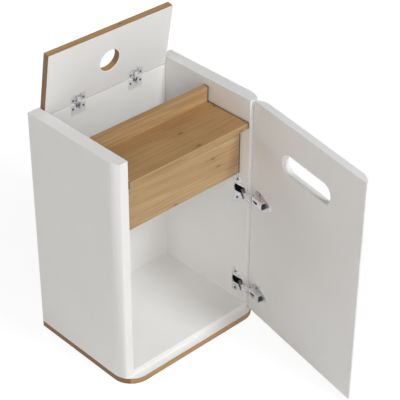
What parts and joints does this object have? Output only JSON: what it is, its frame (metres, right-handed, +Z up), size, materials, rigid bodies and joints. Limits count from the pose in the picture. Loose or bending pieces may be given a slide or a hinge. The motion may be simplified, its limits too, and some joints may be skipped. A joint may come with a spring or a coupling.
{
  "type": "bathroom cabinet",
  "caption": "Free-standing bathroom cabinet with rounded front corners, a slotted door on cup hinges, an oak tray and a flap lid over a rear bin.",
  "frame": {"origin": "centre of the base board's underside, which is the middle of the closed cabinet's footprint", "axes": "+Z up, +Y towards the back, +X to the right of someone who faces the door, where the door's hinges are"},
  "size_m": [0.4, 0.6519, 0.7047],
  "materials": {
    "white_board": "smooth satin white foil",
    "oak_board": "matt oak foil with its grain along the board",
    "beech_dowel": "bare beech, fluted",
    "plated_hinge": "bright nickel plate on pressed steel",
    "hinge_steel": "plain zinc-plated steel",
    "black_steel": "black oxide, matt"
  },
  "bodies": {
    "carcass": {"base_board": "white_board", "base_edge_band": "oak_board", "floor_board": "white_board", "left_side_panel": "white_board", "right_side_panel": "white_board", "back_panel": "white_board", "tray_shelf": "oak_board", "tray_upstand": "oak_board", "tray_apron": "oak_board", "bin_floor": "white_board", "carcass_dowels": "beech_dowel", "tray_dowels": "beech_dowel", "base_screws": "hinge_steel", "upper_hinge_cup": "plated_hinge", "lower_hinge_cup": "plated_hinge", "hinge_cup_screws": "hinge_steel", "hinge_cup_pins": "hinge_steel", "left_lid_hinge_base": "plated_hinge", "right_lid_hinge_base": "plated_hinge", "lid_base_pins": "hinge_steel", "lid_base_screws": "hinge_steel"},
    "door": {"door_panel": "white_board", "hinge_arm_pins": "hinge_steel", "upper_hinge_arm": "plated_hinge", "lower_hinge_arm": "plated_hinge", "upper_mounting_plate": "plated_hinge", "lower_mounting_plate": "plated_hinge", "mounting_plate_screws": "hinge_steel", "hinge_slides": "black_steel", "hinge_side_screws": "black_steel", "hinge_lock_screws": "black_steel"},
    "door_cup_links": {"upper_cup_link": "hinge_steel", "lower_cup_link": "hinge_steel", "hinge_elbow_pins": "hinge_steel"},
    "door_arm_links": {"upper_arm_link": "plated_hinge", "lower_arm_link": "plated_hinge"},
    "lid": {"lid_board": "oak_board", "lid_lining": "white_board", "left_lid_hinge_leaf": "plated_hinge", "right_lid_hinge_leaf": "plated_hinge", "lid_leaf_pins": "hinge_steel", "lid_leaf_screws": "hinge_steel"},
    "lid_base_links": {"lid_base_links": "hinge_steel", "lid_elbow_pins": "hinge_steel"},
    "lid_leaf_links": {"lid_leaf_links": "hinge_steel"}
  },
  "joints": [
    {"name": "door_swing", "type": "hinge", "parent": "carcass", "child": "door", "pos_m": [0.18262, -0.139, 0], "axis": [0, 0, 1], "range_deg": [-80, 10]},
    {"name": "lid_swing", "type": "hinge", "parent": "carcass", "child": "lid", "pos_m": [0, 0.14185, 0.55985], "axis": [-1, 0, 0], "range_deg": [-80, 10]},
    {"name": "door_cup_link_turn", "type": "hinge", "parent": "carcass", "child": "door_cup_links", "pos_m": [0.1775, -0.1157, 0], "axis": [0, 0, 1], "range_deg": [-80, 10]},
    {"name": "door_arm_link_turn", "type": "hinge", "parent": "door", "child": "door_arm_links", "pos_m": [0.16192, -0.15273, 0], "axis": [0, 0, 1], "range_deg": [-10, 80]},
    {"name": "lid_base_link_turn", "type": "hinge", "parent": "carcass", "child": "lid_base_links", "pos_m": [0, 0.1398, 0.538], "axis": [-1, 0, 0], "range_deg": [-80, 10]},
    {"name": "lid_leaf_link_turn", "type": "hinge", "parent": "lid", "child": "lid_leaf_links", "pos_m": [0, 0.13392, 0.56998], "axis": [-1, 0, 0], "range_deg": [-10, 80]}
  ],
  "couplings": [
    {"joint": "door_cup_link_turn", "follows": "door_swing", "ratio": 1},
    {"joint": "door_arm_link_turn", "follows": "door_swing", "ratio": -1},
    {"joint": "lid_base_link_turn", "follows": "lid_swing", "ratio": 1},
    {"joint": "lid_leaf_link_turn", "follows": "lid_swing", "ratio": -1}
  ]
}
